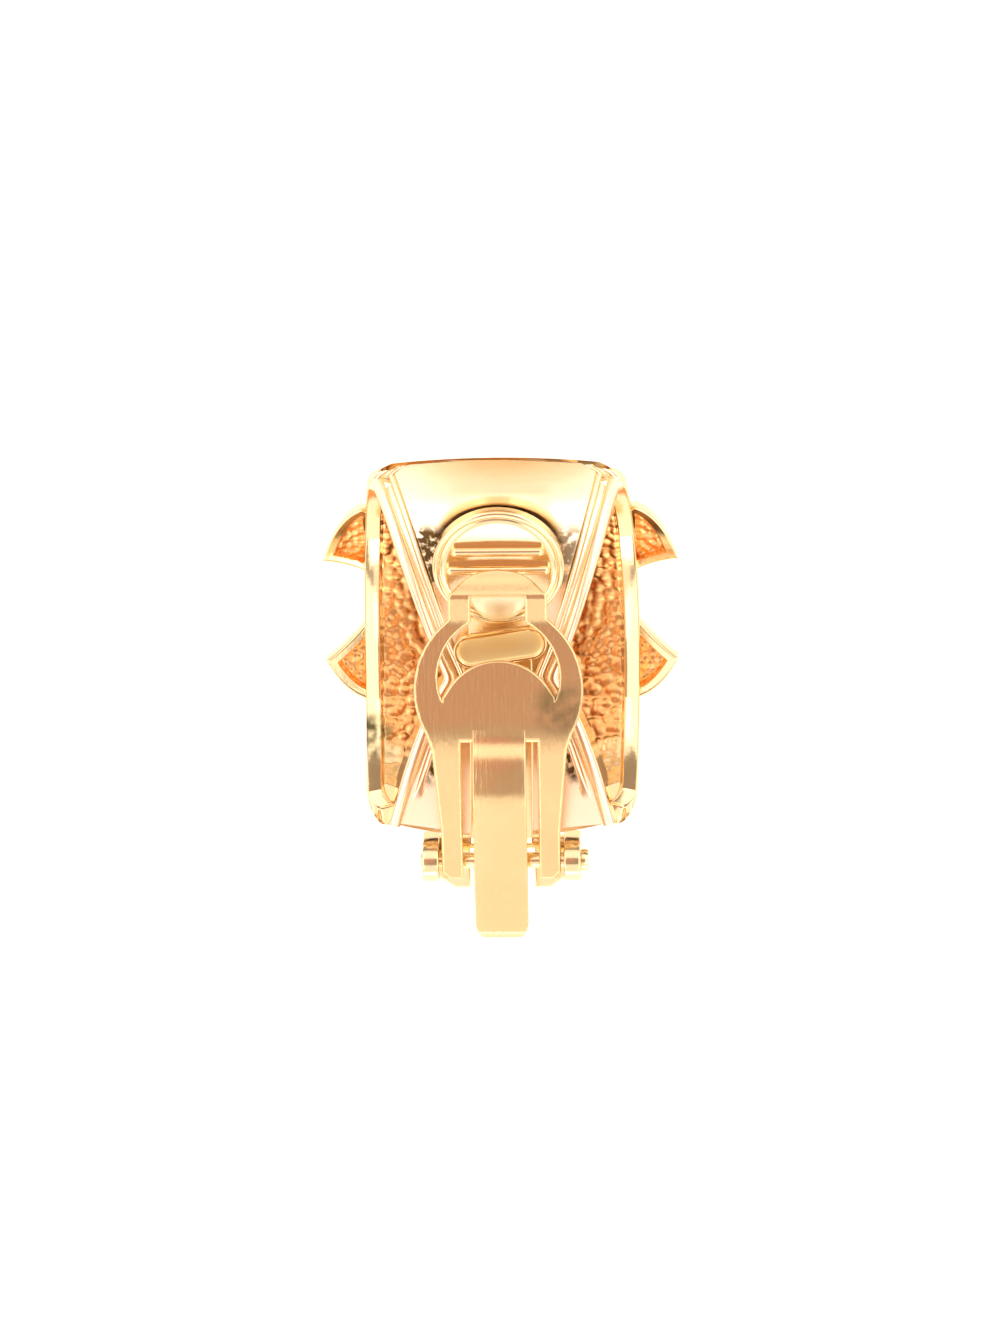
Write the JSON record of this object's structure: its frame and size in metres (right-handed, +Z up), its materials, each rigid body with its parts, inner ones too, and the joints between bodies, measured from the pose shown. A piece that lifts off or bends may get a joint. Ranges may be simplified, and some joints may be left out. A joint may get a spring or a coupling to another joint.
{
  "type": "clip-on earring",
  "caption": "Clip-on earring seen from behind: hollow cast half-hoop with a pierced back, pointed side arms and a hinged ear clip.",
  "frame": {"origin": "on the surface it rests on, below the middle of the bounding box", "axes": "+Z up, with the earring lying on its front and the clip up; +Y towards the earring's top; +X to the right as seen from above"},
  "size_m": [0.0226, 0.0302, 0.0134],
  "materials": {
    "gilt_cast": "polished gold plating, pebbled inside",
    "gilt_sheet": "polished gold plating",
    "rose_sheet": "satin gold plating with a rosy cast"
  },
  "bodies": {
    "earring": {"cast_body": "gilt_cast", "clip_base": "gilt_sheet", "base_rivet": "gilt_sheet", "hinge_pin": "gilt_sheet"},
    "clip": {"clip_paddle": "rose_sheet"}
  },
  "joints": [
    {"name": "clip_hinge", "type": "hinge", "parent": "earring", "child": "clip", "pos_m": [0, -0.01014, 0.00587], "axis": [1, 0, 0], "range_deg": [0, 60]}
  ]
}
